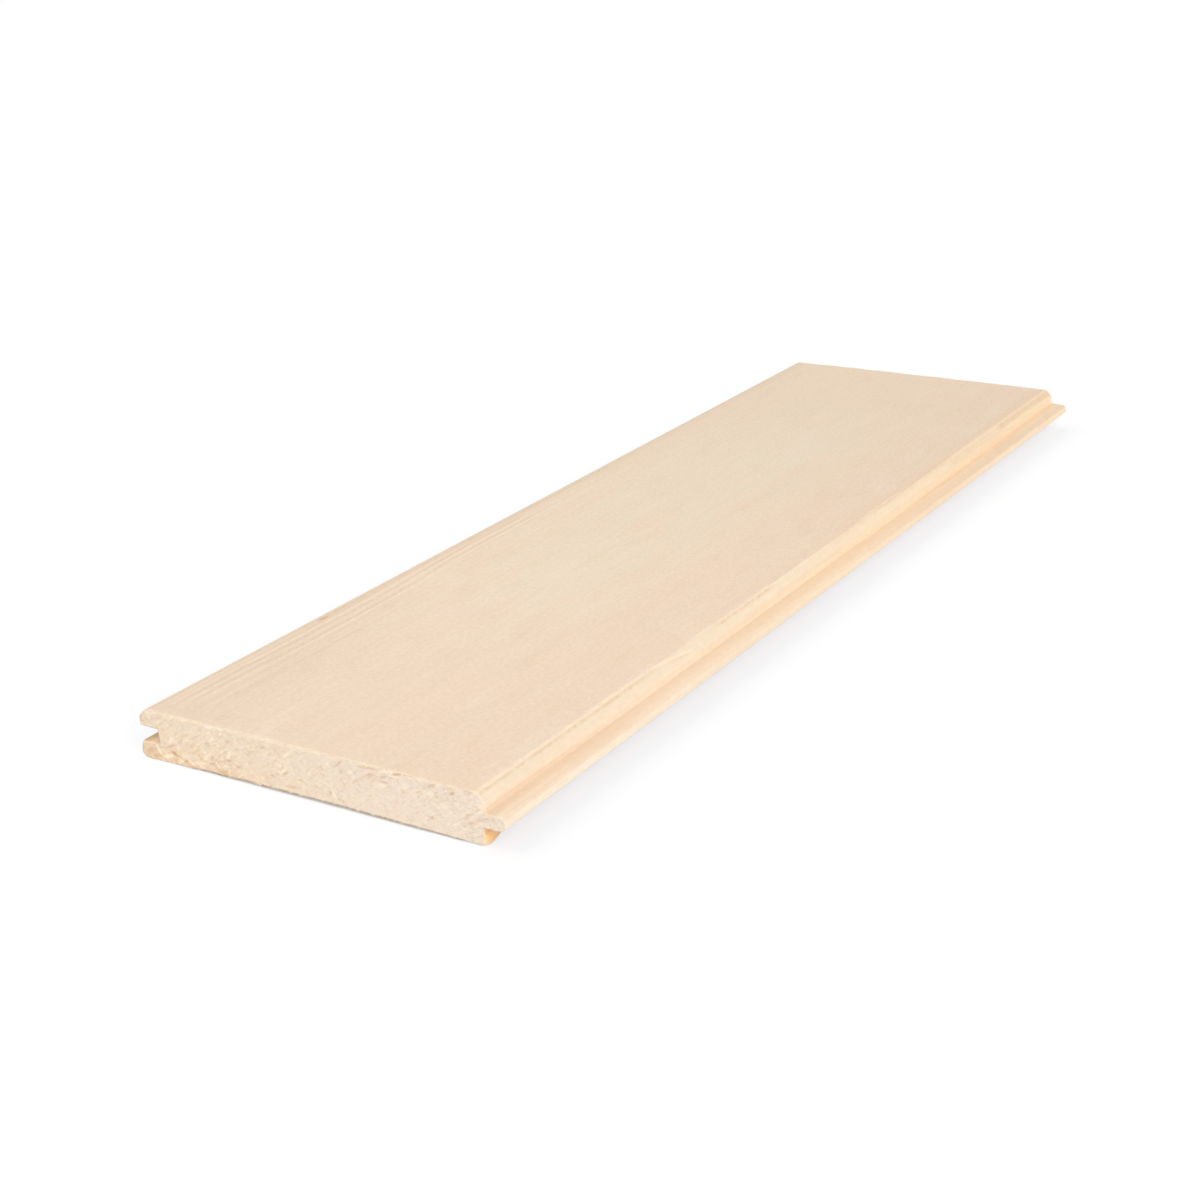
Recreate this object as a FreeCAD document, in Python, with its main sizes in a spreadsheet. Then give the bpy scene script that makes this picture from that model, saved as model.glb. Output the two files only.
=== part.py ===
import FreeCAD, Part
import os
import Sketcher

# A tongue and groove board: one length of solid softwood, planed and moulded on its
# long edges and sawn square at its two ends. Millimetres throughout.
#
# The board lies on its back. X runs across it, from the groove towards the tongue.
# Y runs along the grain. Z points up, out of the face. The origin is the middle of
# the smallest box round the board, on the plane of the back.

SHEET = "Sizes"
NODE = "tongue_groove_board"

# Two points closer than this are the same corner of the section.
NEAR = 0.001

# Each driving size: its name, its value and what it measures.
SIZES = (
    ("board_length", 400.0, "end to end, along the grain"),
    ("board_thickness", 15.0, "back to face"),
    ("cover_width", 115.0, "face lip to face shoulder, the width one laid board covers"),
    ("groove_depth", 6.5, "face lip to the floor of the groove"),
    ("groove_width", 4.7, "between the two walls of the groove"),
    ("face_lip", 5.3, "thickness of the lip between the groove and the face"),
    ("back_lip_lead", 0.4, "how far the back lip stands out past the face lip"),
    ("tip_clearance", 0.5, "nose of the tongue to the floor of the next board's groove"),
    ("face_clearance", 0.1, "top of the tongue to the face wall of that groove"),
    ("back_clearance", 0.6, "underside of the tongue to the back wall of that groove"),
    ("back_shoulder_setback", 0.7, "back shoulder behind the face shoulder"),
    ("face_bevel", 2.3, "leg of the bevel along both edges of the face"),
    ("nose_bevel", 1.1, "leg of the bevels that lead the tongue in"),
    ("mouth_bevel", 0.4, "leg of the bevels at the mouth of the groove"),
    ("root_radius", 0.4, "cutter radius in the corners of the groove and the tongue"),
    ("groove_side_round", 2.0, "rounding of the back's arris on the groove side"),
    ("tongue_side_round", 1.0, "rounding of the back's arris on the tongue side"),
)

doc = FreeCAD.newDocument("TongueGrooveBoard")


def make_sheet():
    sheet = doc.addObject("Spreadsheet::Sheet", SHEET)
    for row, (alias, value, meaning) in enumerate(SIZES, start=1):
        sheet.set(f"A{row}", alias)
        sheet.set(f"B{row}", str(value))
        sheet.set(f"C{row}", meaning)
        sheet.setAlias(f"B{row}", alias)
    doc.recompute()
    return sheet


def cell(alias):
    return f"{SHEET}.{alias}"


# Places across the board, as expressions of the sheet's cells.
TONGUE_LENGTH = f"({cell('groove_depth')} - {cell('tip_clearance')})"
OVERALL_WIDTH = f"({cell('back_lip_lead')} + {cell('cover_width')} + {TONGUE_LENGTH})"
BACK_LIP_X = f"(-{OVERALL_WIDTH} / 2)"
FACE_LIP_X = f"({BACK_LIP_X} + {cell('back_lip_lead')})"
GROOVE_FLOOR_X = f"({FACE_LIP_X} + {cell('groove_depth')})"
FACE_SHOULDER_X = f"({FACE_LIP_X} + {cell('cover_width')})"
BACK_SHOULDER_X = f"({FACE_SHOULDER_X} - {cell('back_shoulder_setback')})"
NOSE_X = f"({OVERALL_WIDTH} / 2)"

# Heights above the back.
BACK_Z = "0"
FACE_Z = cell("board_thickness")
GROOVE_TOP_Z = f"({FACE_Z} - {cell('face_lip')})"
GROOVE_BOTTOM_Z = f"({GROOVE_TOP_Z} - {cell('groove_width')})"
TONGUE_TOP_Z = f"({GROOVE_TOP_Z} - {cell('face_clearance')})"
TONGUE_BOTTOM_Z = f"({GROOVE_BOTTOM_Z} + {cell('back_clearance')})"


def section_sketch(body, name, left, right, bottom, top):
    """A rectangle in the plane of the board's section, each side set by an expression."""
    plane = next(f for f in body.Origin.OriginFeatures if f.Role == "XZ_Plane")
    sketch = body.newObject("Sketcher::SketchObject", name)
    sketch.AttachmentSupport = [(plane, "")]
    sketch.MapMode = "FlatFace"
    sides = {"left": left, "right": right, "bottom": bottom, "top": top}
    at = {side: float(sheet.evalExpression(place)) for side, place in sides.items()}
    low_left = FreeCAD.Vector(at["left"], at["bottom"], 0)
    low_right = FreeCAD.Vector(at["right"], at["bottom"], 0)
    high_right = FreeCAD.Vector(at["right"], at["top"], 0)
    high_left = FreeCAD.Vector(at["left"], at["top"], 0)
    corners = (low_left, low_right, high_right, high_left)
    count = len(corners)
    for i in range(count):
        sketch.addGeometry(Part.LineSegment(corners[i], corners[(i + 1) % count]), False)
    for i in range(count):
        sketch.addConstraint(Sketcher.Constraint("Coincident", i, 2, (i + 1) % count, 1))
        direction = "Horizontal" if i % 2 == 0 else "Vertical"
        sketch.addConstraint(Sketcher.Constraint(direction, i))
    # The start of line 0 is the low left corner, and the start of line 2 the high right.
    for side, line in (("left", 0), ("bottom", 0), ("right", 2), ("top", 2)):
        kind = "DistanceX" if side in ("left", "right") else "DistanceY"
        index = sketch.addConstraint(Sketcher.Constraint(kind, -1, 1, line, 1, at[side]))
        sketch.renameConstraint(index, side)
        sketch.setExpression(f"Constraints.{side}", sides[side])
    return sketch


def run_along_board(feature, sketch):
    """Run a section the whole length of the board, half to each side of its middle."""
    feature.Profile = sketch
    feature.SideType = "Symmetric"
    feature.setExpression("Length", cell("board_length"))
    doc.recompute()


def mill(body, name, left, right, bottom, top):
    """Cut a straight rectangular run out of the board, and check that wood has gone."""
    before = body.Shape.Volume
    sketch = section_sketch(body, f"{name}Section", left, right, bottom, top)
    pocket = body.newObject("PartDesign::Pocket", name)
    run_along_board(pocket, sketch)
    if not body.Shape.Volume < before:
        raise RuntimeError(f"{name} cut nothing")


def ease(body, kind, name, amount, places):
    """Bevel or round the long edges that lie at the given places across the section."""
    spots = [(float(sheet.evalExpression(x)), float(sheet.evalExpression(z))) for x, z in places]
    edges = []
    for number, edge in enumerate(body.Shape.Edges, start=1):
        ends = [vertex.Point for vertex in edge.Vertexes]
        for x, z in spots:
            if all(abs(end.x - x) < NEAR and abs(end.z - z) < NEAR for end in ends):
                edges.append(f"Edge{number}")
    if len(edges) != len(spots):
        raise RuntimeError(f"{name} found {len(edges)} of {len(spots)} edges")
    base = body.Tip
    feature = body.newObject(f"PartDesign::{kind}", name)
    feature.Base = (base, edges)
    feature.setExpression("Radius" if kind == "Fillet" else "Size", cell(amount))
    doc.recompute()


def make_board():
    body = doc.addObject("PartDesign::Body", "Board")
    body.Label = NODE

    # The planed blank, as wide as the board over its tongue.
    blank = section_sketch(body, "BlankSection", BACK_LIP_X, NOSE_X, BACK_Z, FACE_Z)
    run_along_board(body.newObject("PartDesign::Pad", "Blank"), blank)

    # The tongue is what two rebates leave of the edge.
    mill(body, "FaceRebate", FACE_SHOULDER_X, NOSE_X, TONGUE_TOP_Z, FACE_Z)
    mill(body, "BackRebate", BACK_SHOULDER_X, NOSE_X, BACK_Z, TONGUE_BOTTOM_Z)

    # The groove, and the step that brings the face lip behind the back lip.
    mill(body, "Groove", BACK_LIP_X, GROOVE_FLOOR_X, GROOVE_BOTTOM_Z, GROOVE_TOP_Z)
    mill(body, "FaceLip", BACK_LIP_X, FACE_LIP_X, GROOVE_TOP_Z, FACE_Z)

    # The bevels that make a V where two laid boards meet.
    ease(body, "Chamfer", "FaceBevels", "face_bevel",
         [(FACE_LIP_X, FACE_Z), (FACE_SHOULDER_X, FACE_Z)])
    ease(body, "Chamfer", "NoseBevels", "nose_bevel",
         [(NOSE_X, TONGUE_TOP_Z), (NOSE_X, TONGUE_BOTTOM_Z)])
    ease(body, "Chamfer", "MouthBevels", "mouth_bevel",
         [(FACE_LIP_X, GROOVE_TOP_Z), (BACK_LIP_X, GROOVE_BOTTOM_Z)])

    # The cutters' own radius stays in the inner corners.
    ease(body, "Fillet", "Roots", "root_radius",
         [(GROOVE_FLOOR_X, GROOVE_TOP_Z), (GROOVE_FLOOR_X, GROOVE_BOTTOM_Z),
          (FACE_SHOULDER_X, TONGUE_TOP_Z), (BACK_SHOULDER_X, TONGUE_BOTTOM_Z)])

    # The back's two long arrises are rounded over.
    ease(body, "Fillet", "GrooveSideRound", "groove_side_round", [(BACK_LIP_X, BACK_Z)])
    ease(body, "Fillet", "TongueSideRound", "tongue_side_round", [(BACK_SHOULDER_X, BACK_Z)])
    return body


def check_document():
    doc.recompute()
    for item in doc.Objects:
        if "Invalid" in item.State or "Error" in item.State:
            raise RuntimeError(f"{item.Name} failed: {item.State}")


def write_step(body):
    shape = body.Shape
    if shape.isNull() or not shape.isValid() or len(shape.Solids) != 1:
        raise RuntimeError(f"{body.Label} is not one sound solid")
    os.makedirs("parts", exist_ok=True)
    shape.exportStep(os.path.join("parts", f"{body.Label}.step"))
    box = shape.BoundBox
    print(f"{body.Label}: {box.XLength:.2f} x {box.YLength:.2f} x {box.ZLength:.2f} mm")


sheet = make_sheet()
board = make_board()
check_document()
write_step(board)
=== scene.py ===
"""Looks of the tongue and groove board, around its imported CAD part.

The section is worked out in millimetres, as in the part's source, and becomes metres where a mesh is made.
X runs across the board from the groove to the tongue, Y along the grain, Z up out of the face.
"""

import math

import bpy
import numpy as np
from mathutils import Matrix, Vector
from mathutils.geometry import delaunay_2d_cdt


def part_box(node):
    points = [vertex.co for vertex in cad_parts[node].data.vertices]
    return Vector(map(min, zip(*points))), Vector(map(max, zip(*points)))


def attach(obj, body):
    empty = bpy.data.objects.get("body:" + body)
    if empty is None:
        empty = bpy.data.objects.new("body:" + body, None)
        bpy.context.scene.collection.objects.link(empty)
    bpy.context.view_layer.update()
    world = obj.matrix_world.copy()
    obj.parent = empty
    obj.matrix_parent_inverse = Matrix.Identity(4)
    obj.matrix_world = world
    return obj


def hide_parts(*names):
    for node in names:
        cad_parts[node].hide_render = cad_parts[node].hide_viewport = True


NODE = "tongue_groove_board"
BODY = "root"
MM = 0.001

# The part's own sizes, in mm
THICKNESS = 15.0
COVER_WIDTH = 115.0
GROOVE_DEPTH = 6.5
GROOVE_WIDTH = 4.7
FACE_LIP = 5.3
BACK_LIP_LEAD = 0.4
TIP_CLEARANCE = 0.5
FACE_CLEARANCE = 0.1
BACK_CLEARANCE = 0.6
BACK_SHOULDER_SETBACK = 0.7
FACE_BEVEL = 2.3
NOSE_BEVEL = 1.1
MOUTH_BEVEL = 0.4
ROOT_RADIUS = 0.4
GROOVE_SIDE_ROUND = 2.0
# The corner below the tongue is worn a little rounder than the drawn 1 mm
WORN_ROUND = 1.3
# How far a bulge stands out at the foot of the recess below the tongue, near the near end: a shape that stands in for
# the shade and the wood's warm reflected light on the floor there
FOOT_SHADE_BULGE = 1.1

# Cupping of the dry board, seen in the photograph: its edges lie on the floor and its middle is up
CROWN = 0.25
HOLLOW = 0.65
CUP_HALF_WIDTH = 57.0

# The mesh: distances between points, in mm
FACE_PITCH = 0.55
SIDE_PITCH = 0.45
BACK_PITCH = 1.8
ROW_PITCH = 2.6
END_PITCH = 0.42
END_ROWS = (0.0, 0.12, 0.35, 0.8, 1.5, 2.6, 4.2)

# The camera that fits the photograph, in mm and degrees
CAMERA_AT = (321.14, -560.55, 239.66)
CAMERA_AZIMUTH = 32.5307
CAMERA_DOWN = 21.3488
CAMERA_ROLL = 2.4337
FOCAL_PIXELS = 2030.13
IMAGE_PIXELS = 1200
SENSOR = 36.0


def linear(r, g, b):
    """Linear colour of an 8-bit sRGB one."""
    out = []
    for c in (r, g, b):
        c = c / 255.0
        out.append(c / 12.92 if c <= 0.04045 else ((c + 0.055) / 1.055) ** 2.4)
    return (*out, 1.0)


class Lattice:
    """Smooth noise from -1 to 1 on a seeded lattice, one unit apart."""

    SIZE = 32

    def __init__(self, seed):
        self.values = np.random.default_rng(seed).uniform(-1, 1, (self.SIZE,) * 3)

    def __call__(self, x, y=0.0, z=0.0):
        x, y, z = np.broadcast_arrays(*(np.asarray(c, float) for c in (x, y, z)))
        cells = [np.floor(c).astype(int) for c in (x, y, z)]
        parts = [c - i for c, i in zip((x, y, z), cells)]
        parts = [p * p * (3 - 2 * p) for p in parts]
        total = np.zeros(x.shape)
        for i in (0, 1):
            for j in (0, 1):
                for k in (0, 1):
                    weight = np.ones(x.shape)
                    for p, side in zip(parts, (i, j, k)):
                        weight = weight * (p if side else 1 - p)
                    index = tuple((c + s) % self.SIZE for c, s in zip(cells, (i, j, k)))
                    total += weight * self.values[index]
        return total

    def layers(self, x, y=0.0, z=0.0, count=3):
        """Sum of finer and fainter layers."""
        total, strength = 0.0, 1.0
        for n in range(count):
            scale = 2.0**n
            total = total + strength * self(x * scale + 7.3 * n, y * scale, z * scale)
            strength *= 0.5
        return total


def step(x, low, high):
    """0 below low, 1 above high, smooth between."""
    t = np.clip((np.asarray(x, float) - low) / (high - low), 0, 1)
    return t * t * (3 - 2 * t)


def section_corners(low_x):
    """Corners of the section as (x, z, radius, kind of the side that follows)."""
    tongue = GROOVE_DEPTH - TIP_CLEARANCE
    back_lip = low_x
    face_lip = back_lip + BACK_LIP_LEAD
    floor = face_lip + GROOVE_DEPTH
    shoulder = face_lip + COVER_WIDTH
    back_shoulder = shoulder - BACK_SHOULDER_SETBACK
    nose = shoulder + tongue
    roof = THICKNESS - FACE_LIP
    sill = roof - GROOVE_WIDTH
    tongue_top = roof - FACE_CLEARANCE
    tongue_low = sill + BACK_CLEARANCE
    shallow = THICKNESS - FACE_BEVEL
    soft, arris = 0.3, 0.32
    return [
        (back_lip, 0.0, GROOVE_SIDE_ROUND, "side"),
        (back_lip, sill - MOUTH_BEVEL, soft, "side"),
        (back_lip + MOUTH_BEVEL, sill, soft, "inside"),
        (floor, sill, ROOT_RADIUS, "inside"),
        (floor, roof, ROOT_RADIUS, "inside"),
        (face_lip + MOUTH_BEVEL, roof, soft, "side"),
        (face_lip, roof + MOUTH_BEVEL, soft, "side"),
        (face_lip, shallow, soft, "side"),
        (face_lip + FACE_BEVEL, THICKNESS, arris, "face"),
        (shoulder - FACE_BEVEL, THICKNESS, arris, "side"),
        (shoulder, shallow, 1.6, "side"),
        (shoulder, tongue_top, ROOT_RADIUS, "side"),
        (nose - NOSE_BEVEL, tongue_top, 0.5, "side"),
        (nose, tongue_top - NOSE_BEVEL, 0.5, "side"),
        (nose, tongue_low + NOSE_BEVEL, soft, "side"),
        (nose - NOSE_BEVEL, tongue_low, soft, "inside"),
        (back_shoulder, tongue_low, ROOT_RADIUS, "side"),
        (back_shoulder, 0.0, WORN_ROUND, "back"),
    ]


PITCH = {"face": FACE_PITCH, "side": SIDE_PITCH, "inside": 2 * SIDE_PITCH, "back": BACK_PITCH}
KINDS = ("face", "side", "inside", "back", "end")


def rounded_outline(corners):
    """Points round the section, the kind of the side after each, and 1 on the tongue side's face arris."""
    points, kinds, arris = [], [], []
    count = len(corners)
    for n, (x, z, radius, kind) in enumerate(corners):
        here = np.array([x, z])
        before = np.array(corners[n - 1][:2])
        after = np.array(corners[(n + 1) % count][:2])
        u = (before - here) / np.linalg.norm(before - here)
        v = (after - here) / np.linalg.norm(after - here)
        half = math.acos(np.clip(u @ v, -1, 1)) / 2
        cut = radius / math.tan(half)
        middle = here + (u + v) / np.linalg.norm(u + v) * radius / math.sin(half)
        start, end = here + u * cut, here + v * cut
        a = math.atan2(*(start - middle)[::-1])
        turn = (math.atan2(*(end - middle)[::-1]) - a + math.pi) % (2 * math.pi) - math.pi
        steps = max(3, int(abs(turn) * radius / 0.25))
        for k in range(steps + 1):
            t = a + turn * k / steps
            points.append(middle + radius * np.array([math.cos(t), math.sin(t)]))
            kinds.append(kind if k == steps else "side")
            arris.append(1.0 if z == THICKNESS and x > 0 else 0.0)
        nx, nz, nr, _ = corners[(n + 1) % count]
        following = np.array([nx, nz])
        beyond = np.array(corners[(n + 2) % count][:2])
        w = (beyond - following) / np.linalg.norm(beyond - following)
        next_half = math.acos(np.clip(-v @ w, -1, 1)) / 2
        stop = following - v * nr / math.tan(next_half)
        run = np.linalg.norm(stop - end)
        pieces = max(1, int(round(run / PITCH[kind])))
        for k in range(1, pieces):
            points.append(end + (stop - end) * k / pieces)
            kinds.append(kind)
            arris.append(0.0)
    return np.array(points), kinds, np.array(arris)


def arc_from_arris(outline, arris):
    """Distance round the outline from the face's arris on the tongue side, positive towards the tongue."""
    steps = np.linalg.norm(np.diff(outline, axis=0), axis=1)
    arc = np.concatenate([[0.0], np.cumsum(steps)])
    return arc - arc[arris > 0].mean()


def outward(points):
    """Normals of a closed outline that runs clockwise seen from the near end."""
    along = np.roll(points, -1, axis=0) - np.roll(points, 1, axis=0)
    along /= np.linalg.norm(along, axis=1)[:, None]
    return np.c_[-along[:, 1], along[:, 0]]


def cupped(x, z):
    """Height of a point of the flat section once the board has cupped."""
    across = np.clip(np.abs(x / CUP_HALF_WIDTH), 0, 1) ** 2
    low = HOLLOW * (1 - across)
    high = THICKNESS - CROWN * across
    return low + (high - low) * z / THICKNESS


PITH = (34.0, -38.0)
# Radii of the dark rings that the photograph shows as lines near the groove side, outermost first
SEEN_RINGS = (106.0, 104.3, 102.6, 100.4, 98.7, 96.6, 94.2, 91.9, 89.0)
SEEN_STRENGTHS = (0.5, 1.0, 0.4, 0.95, 0.8, 0.3, 0.15, 0.75, 0.25)
RING_SEED = 11
wander = Lattice(3)


def rings():
    """Radii and strengths of the dark rings from the pith outwards."""
    random = np.random.default_rng(RING_SEED)
    radii, strengths = list(SEEN_RINGS), list(SEEN_STRENGTHS)
    while radii[-1] > 20:
        radii.append(radii[-1] - random.uniform(1.8, 3.6))
        strengths.append(random.uniform(0.1, 0.45))
    while radii[0] < 125:
        radii.insert(0, radii[0] + random.uniform(1.5, 2.0))
        strengths.insert(0, 0.5)
    return np.array(radii[::-1]), np.array(strengths[::-1])


RADII, STRENGTHS = rings()


def ring_phase(x, y, z):
    """Ring number at a point, growing by one from each dark ring to the next."""
    drift_x = 1.4 * wander(y / 170.0, 0.5)
    drift_z = 1.6 * wander(y / 120.0, 9.5) + 0.5 * wander(y / 34.0, 15.5)
    radius = np.hypot(x - PITH[0] - drift_x, z - PITH[1] - drift_z)
    radius = radius + 0.35 * wander(x / 14.0, y / 60.0, z / 14.0)
    return np.interp(radius, RADII, np.arange(len(RADII)))


def line_strength(x, y, phase):
    """How plainly the rings show as lines on the face: near the groove side, most in the near half."""
    left = 1 - step(x, -50.0, -30.0)
    along = 0.3 + 0.7 * (1 - step(y, -70.0, 60.0))
    along = along * (0.35 + 0.65 * step(y, -198.0, -160.0))
    patches = 0.75 + 0.6 * wander(x / 4.0, y / 22.0, 4.5)
    ring = STRENGTHS[np.clip(np.ceil(phase).astype(int), 0, len(STRENGTHS) - 1)]
    return np.clip(0.1 + left * along * patches * ring * 0.9, 0, 1)


def rows_along(length):
    """Places of the rows of points, close together near both sawn ends."""
    half = length / 2
    near = [-half + d for d in END_ROWS]
    middle = np.linspace(near[-1], -near[-1], int(-2 * near[-1] / ROW_PITCH) + 1)[1:-1]
    return np.array(near + list(middle) + [-y for y in reversed(near)])


grain = Lattice(21)
sawn = Lattice(22)


def end_wear(outline, y, half):
    """How far the outline is drawn in near a sawn end, by the saw's break-out, across and along the grain."""
    depth = half - abs(y)
    side = np.sign(y)
    x, z = outline[:, 0], outline[:, 1]
    ragged = 0.06 + 0.05 * sawn.layers(x / 2.2, z / 2.2, 3.0 + side, count=3)
    torn = step(sawn(x / 5.0, z / 5.0, 8.0 + side), 0.2, 0.7)
    across = np.clip(ragged + 0.06 * torn, 0.0, 0.16) * math.exp(-((depth / 0.28) ** 2))
    along = (0.02 + 0.3 * ragged + 0.3 * torn) * math.exp(-depth)
    return across, along


def foot_shade_bulge(x, z, y, half):
    """How far the wall of the recess below the tongue bulges out at its foot, standing in for shade and reflected
    light on the floor there.
    """
    depth = half + y
    along = step(depth, 0.0, 1.6) * (1 - step(depth, 2.4, 9.0))
    return FOOT_SHADE_BULGE * along * (1 - step(z, 1.0, 4.6)) * step(x, 50.0, 53.2)


def inside_outline(points, outline):
    """Which points lie inside a closed outline."""
    a = outline[None]
    b = np.roll(outline, -1, axis=0)[None]
    x, z = points[:, None, 0], points[:, None, 1]
    spans = (a[..., 1] > z) != (b[..., 1] > z)
    rise = np.where(b[..., 1] == a[..., 1], 1.0, b[..., 1] - a[..., 1])
    cross = a[..., 0] + (z - a[..., 1]) * (b[..., 0] - a[..., 0]) / rise
    return (spans & (x < cross)).sum(axis=1) % 2 == 1


def gap_to_outline(points, outline):
    """Distance from each point to the nearest of the outline's own points."""
    return np.linalg.norm(points[:, None] - outline[None], axis=2).min(axis=1)


def end_cap(outline, seed):
    """Points inside a sawn end, and the triangles over them and the outline."""
    random = np.random.default_rng(seed)
    low, high = outline.min(axis=0), outline.max(axis=0)
    xs = np.arange(low[0], high[0], END_PITCH)
    zs = np.arange(low[1], high[1], END_PITCH)
    grid = np.array([(x, z) for x in xs for z in zs])
    grid += random.uniform(-0.3, 0.3, grid.shape) * END_PITCH
    grid = grid[inside_outline(grid, outline)]
    grid = grid[gap_to_outline(grid, outline) > 0.6 * END_PITCH]
    flat = [Vector(p) for p in np.vstack([outline, grid])]
    count = len(outline)
    ring = [(n, (n + 1) % count) for n in range(count)]
    _, _, faces, origins, _, _ = delaunay_2d_cdt(flat, ring, [], 1, 1e-6)
    return grid, [[origins[i][0] for i in face] for face in faces]


def end_relief(x, z, side):
    """Depth of the sawn surface below the end's plane: torn fibres, saw lines and pits."""
    fibres = 0.5 + 0.5 * sawn.layers(x / 0.9, z / 0.9, 12.0 + side, count=3) / 1.6
    tracks = 0.5 + 0.5 * sawn((x * 0.35 + z) / 0.7, 20.0 + side)
    pits = step(sawn(x / 0.8, z / 0.8, 26.0 + side), 0.55, 0.9)
    return 0.02 + 0.16 * fibres + 0.05 * tracks + 0.3 * pits


# Torn strokes of the near end, one of them painted shade, as (x, z, half length, half height, lean in degrees,
# strength)
DARK_STROKES = (
    (-59.5, 11.3, 0.6, 0.6, 0, 0.35), (-57.8, 12.3, 0.9, 0.35, 15, 0.4), (-53.7, 13.1, 0.9, 0.5, 10, 0.3),
    (-53.1, 4.3, 1.0, 0.35, 15, 0.6), (-49.6, 5.5, 1.5, 0.5, 25, 0.55), (-48.5, 3.2, 1.4, 0.55, -25, 0.95),
    (-46.0, 7.5, 1.0, 0.4, 40, 0.45), (-44.7, 1.7, 0.8, 0.5, 10, 0.95), (-41.6, 6.9, 0.5, 0.5, 0, 0.35),
    (-36.2, 8.9, 0.9, 0.5, 20, 0.5), (-34.7, 4.8, 0.7, 0.4, 60, 0.6), (-34.6, 2.9, 1.8, 0.6, 8, 0.45),
    (-32.0, 4.3, 1.2, 0.35, 5, 0.4), (-29.0, 5.3, 1.5, 0.4, 15, 0.5), (-28.7, 11.2, 0.6, 0.7, 0, 0.35),
    (-31.0, 1.4, 1.4, 0.5, 30, 0.4), (-57.0, 3.1, 1.6, 0.9, 20, 0.4), (-55.0, 1.4, 1.8, 0.6, 5, 0.4),
    (-21.5, 6.3, 0.7, 0.5, 0, 0.35), (-21.0, 9.4, 2.0, 0.4, 30, 0.35), (-16.0, 12.3, 1.0, 0.4, 35, 0.7),
    (-11.8, 5.0, 0.6, 0.6, 0, 0.45), (-9.3, 5.8, 1.3, 0.35, 42, 0.5), (-4.2, 5.0, 0.8, 0.4, 20, 0.5),
    (-7.5, 2.1, 2.2, 0.6, 5, 0.35), (-13.7, 4.0, 1.2, 0.6, 0, 0.3), (1.2, 4.4, 0.8, 0.4, 0, 0.3),
    (5.6, 3.5, 0.6, 0.6, 0, 0.45), (8.9, 2.1, 1.2, 0.5, -10, 0.3), (10.0, 10.9, 0.6, 0.7, 0, 0.45),
    (9.4, 13.3, 1.8, 0.4, 45, 0.5), (19.2, 14.1, 3.0, 0.35, 3, 0.6), (27.9, 14.4, 1.3, 0.45, 25, 0.9),
    (29.7, 14.7, 1.4, 0.35, 10, 0.5), (19.5, 12.2, 1.1, 0.4, 20, 0.6), (23.8, 12.7, 1.1, 0.35, 25, 0.7),
    (25.8, 12.9, 0.7, 0.3, 10, 0.4), (23.2, 11.1, 1.5, 0.35, 0, 0.5), (28.2, 12.9, 0.5, 0.35, 0, 0.35),
    (34.5, 10.8, 0.8, 0.35, 30, 0.35), (38.7, 13.7, 1.5, 0.45, 20, 0.4), (45.0, 12.9, 0.9, 0.45, 30, 0.85),
    (38.3, 4.3, 0.6, 0.7, 0, 0.35), (49.0, 7.2, 1.2, 0.9, 30, 0.35), (50.4, 5.9, 1.0, 0.45, 20, 0.45),
    # The dark stroke at (53.5, 7.6) is painted shade, a shadowy band along the tongue's root
    (53.5, 7.6, 1.8, 0.7, 25, 0.35), (57.3, 8.5, 0.6, 0.5, 0, 0.35), (50.3, 3.2, 0.8, 0.4, 10, 0.3),
)
LIGHT_STROKES = (
    (-57.0, 14.3, 0.8, 0.5, 0, 0.7), (-54.0, 14.7, 0.8, 0.5, 0, 0.8), (-51.0, 14.6, 0.8, 0.5, 0, 0.9),
    (-48.3, 14.8, 0.9, 0.5, 0, 1.0), (-43.5, 14.8, 0.9, 0.5, 0, 0.9), (-40.0, 14.9, 1.0, 0.4, 0, 0.5),
    (-34.6, 14.4, 1.6, 0.6, 10, 1.0), (-31.0, 14.8, 1.2, 0.5, 0, 0.8), (-25.0, 14.9, 0.9, 0.5, 0, 0.9),
    (-13.5, 14.8, 1.2, 0.6, -20, 0.8), (-49.5, 7.2, 1.4, 0.5, 50, 0.9), (-36.9, 6.2, 1.1, 0.3, 15, 0.7),
    (-28.6, 7.1, 1.5, 0.5, 60, 0.8), (-54.4, 3.4, 1.9, 0.5, -60, 0.9), (-51.0, 2.0, 2.0, 0.7, 15, 0.9),
    (-46.3, 1.3, 1.5, 0.5, 20, 0.8), (-36.4, 5.1, 2.0, 0.5, 45, 0.6), (-39.6, 2.1, 2.8, 0.6, 10, 0.6),
    (-33.2, 3.0, 1.2, 0.4, -50, 0.8), (-30.2, 3.2, 1.0, 0.45, 0, 0.7), (-34.3, 10.5, 1.2, 0.7, 45, 0.6),
    (-45.0, 3.2, 1.6, 0.6, 10, 0.5), (-9.8, 6.5, 1.6, 0.5, 42, 0.7), (-8.2, 11.7, 1.8, 0.5, 40, 0.7),
    (-11.1, 8.0, 0.9, 0.7, 30, 0.6), (-15.0, 13.0, 1.0, 0.3, 30, 0.5), (5.6, 12.3, 1.5, 0.5, 50, 0.5),
    (7.0, 2.8, 1.3, 0.5, -60, 0.6), (24.5, 14.4, 2.4, 0.35, 15, 0.8), (27.0, 13.5, 2.2, 0.3, 8, 0.6),
    (23.0, 9.8, 1.4, 0.6, 10, 0.5), (38.0, 11.4, 2.0, 0.7, 30, 0.5), (42.0, 8.4, 1.5, 0.6, 20, 0.5),
    (29.8, 10.6, 1.5, 0.8, 25, 0.35), (51.5, 13.6, 1.6, 0.4, 25, 0.5), (46.5, 10.5, 1.2, 0.6, 30, 0.4),
    (49.0, 8.4, 1.5, 0.35, 45, 0.4), (53.0, 9.4, 1.4, 0.5, 35, 0.5), (52.6, 5.8, 1.2, 0.4, 30, 0.4),
)


STROKE_STRETCH = 1.3


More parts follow.
